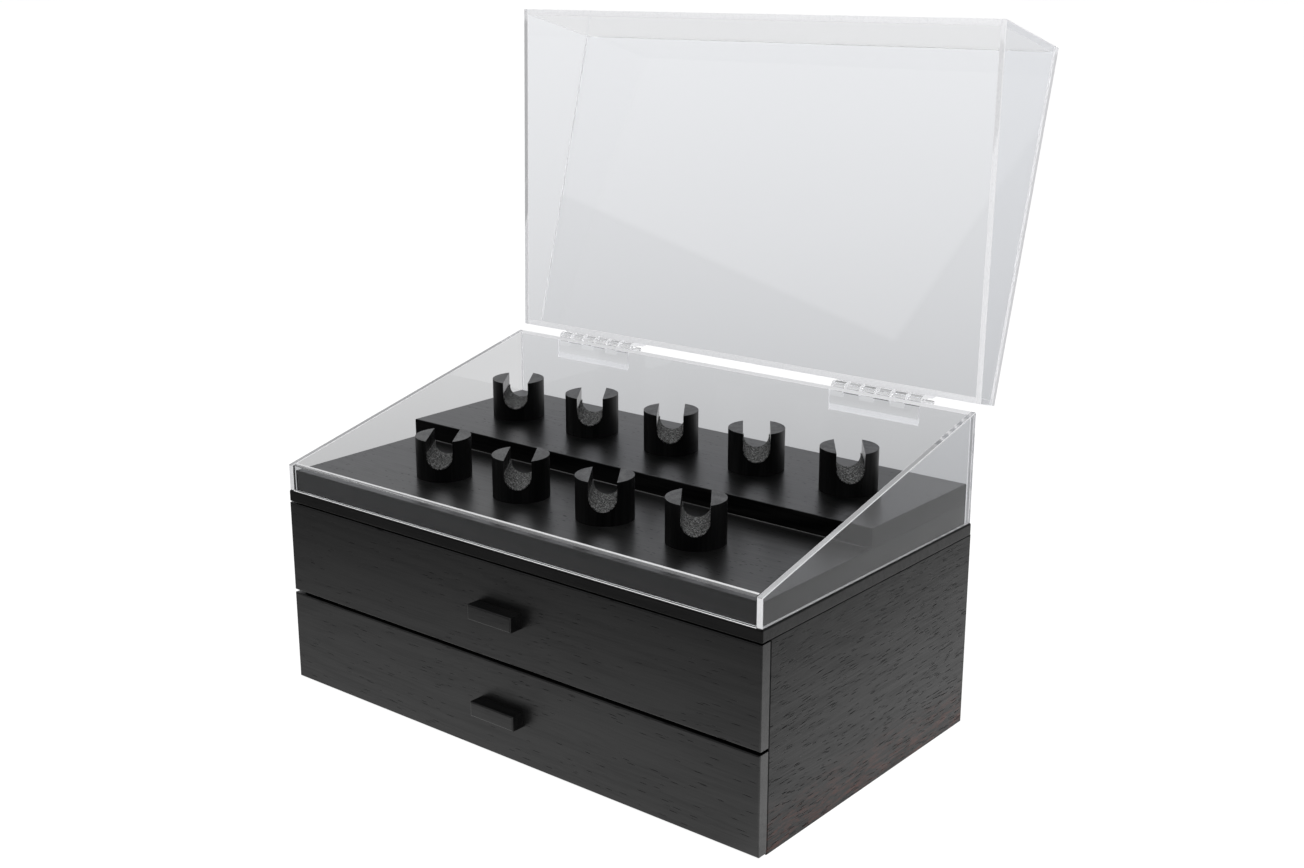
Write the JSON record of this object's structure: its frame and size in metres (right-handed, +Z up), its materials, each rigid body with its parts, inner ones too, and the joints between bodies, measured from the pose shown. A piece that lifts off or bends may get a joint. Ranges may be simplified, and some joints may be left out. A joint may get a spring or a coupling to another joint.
{
  "type": "knife display case",
  "caption": "Tabletop display case: dark wood cabinet with drawers, clear hood with a hinged sloping lid, and slotted round posts on a stepped deck that hold folded knives.",
  "frame": {"origin": "centre of the cabinet's underside, where it rests on the table", "axes": "+X to the right seen from the front, +Y to the back where the lid is hinged, +Z up"},
  "size_m": [0.5, 0.409, 0.5718],
  "materials": {
    "stained_wood": "black-stained open-grain wood, satin lacquer",
    "deck_wood": "black-stained wood, semi-gloss lacquer",
    "cradle_wood": "black-stained turned wood, satin",
    "drawer_wood": "dark stained wood, matt",
    "dowel_wood": "plain beech",
    "felt": "dark grey felt",
    "clear_acrylic": "clear polished acrylic",
    "hinge_acrylic": "clear moulded acrylic",
    "steel": "zinc-plated screws"
  },
  "bodies": {
    "cabinet": {"side_panel_left": "stained_wood", "side_panel_right": "stained_wood", "bottom_panel": "stained_wood", "back_panel": "stained_wood", "middle_rail": "stained_wood", "top_rail_front": "stained_wood", "top_rail_back": "stained_wood", "carcass_dowels": "dowel_wood", "top_board": "stained_wood", "runner_lower_left": "stained_wood", "runner_lower_right": "stained_wood", "runner_upper_left": "stained_wood", "runner_upper_right": "stained_wood", "runner_screws": "steel", "deck_screws": "steel", "plinth_board": "deck_wood", "riser_board": "deck_wood", "cradle_front_1": "cradle_wood", "cradle_front_2": "cradle_wood", "cradle_front_3": "cradle_wood", "cradle_front_4": "cradle_wood", "cradle_back_1": "cradle_wood", "cradle_back_2": "cradle_wood", "cradle_back_3": "cradle_wood", "cradle_back_4": "cradle_wood", "cradle_back_5": "cradle_wood", "felt_linings": "felt", "cradle_screws": "steel", "hood_side_left": "clear_acrylic", "hood_side_right": "clear_acrylic", "hood_front": "clear_acrylic", "hood_back": "clear_acrylic", "hinge_base_leaf_left": "hinge_acrylic", "hinge_base_leaf_right": "hinge_acrylic", "hinge_pin_left": "hinge_acrylic", "hinge_pin_right": "hinge_acrylic"},
    "lid": {"lid_side_left": "clear_acrylic", "lid_side_right": "clear_acrylic", "lid_front": "clear_acrylic", "lid_back": "clear_acrylic", "lid_top": "clear_acrylic", "hinge_lid_leaf_left": "hinge_acrylic", "hinge_lid_leaf_right": "hinge_acrylic"},
    "lower_drawer": {"lower_drawer_front": "stained_wood", "lower_drawer_inner_front": "drawer_wood", "lower_drawer_back": "drawer_wood", "lower_drawer_side_left": "drawer_wood", "lower_drawer_side_right": "drawer_wood", "lower_drawer_bottom": "drawer_wood", "lower_handle": "stained_wood", "lower_handle_screws": "steel"},
    "upper_drawer": {"upper_drawer_front": "stained_wood", "upper_drawer_inner_front": "drawer_wood", "upper_drawer_back": "drawer_wood", "upper_drawer_side_left": "drawer_wood", "upper_drawer_side_right": "drawer_wood", "upper_drawer_bottom": "drawer_wood", "upper_handle": "stained_wood", "upper_handle_screws": "steel"}
  },
  "joints": [
    {"name": "lid_hinge", "type": "hinge", "parent": "cabinet", "child": "lid", "pos_m": [0, 0.1503, 0.2683], "axis": [-1, 0, 0], "range_deg": [-105, 0]},
    {"name": "lower_drawer_slide", "type": "slide", "parent": "cabinet", "child": "lower_drawer", "axis": [0, -1, 0], "range_m": [0, 0.19]},
    {"name": "upper_drawer_slide", "type": "slide", "parent": "cabinet", "child": "upper_drawer", "axis": [0, -1, 0], "range_m": [0, 0.19]}
  ]
}
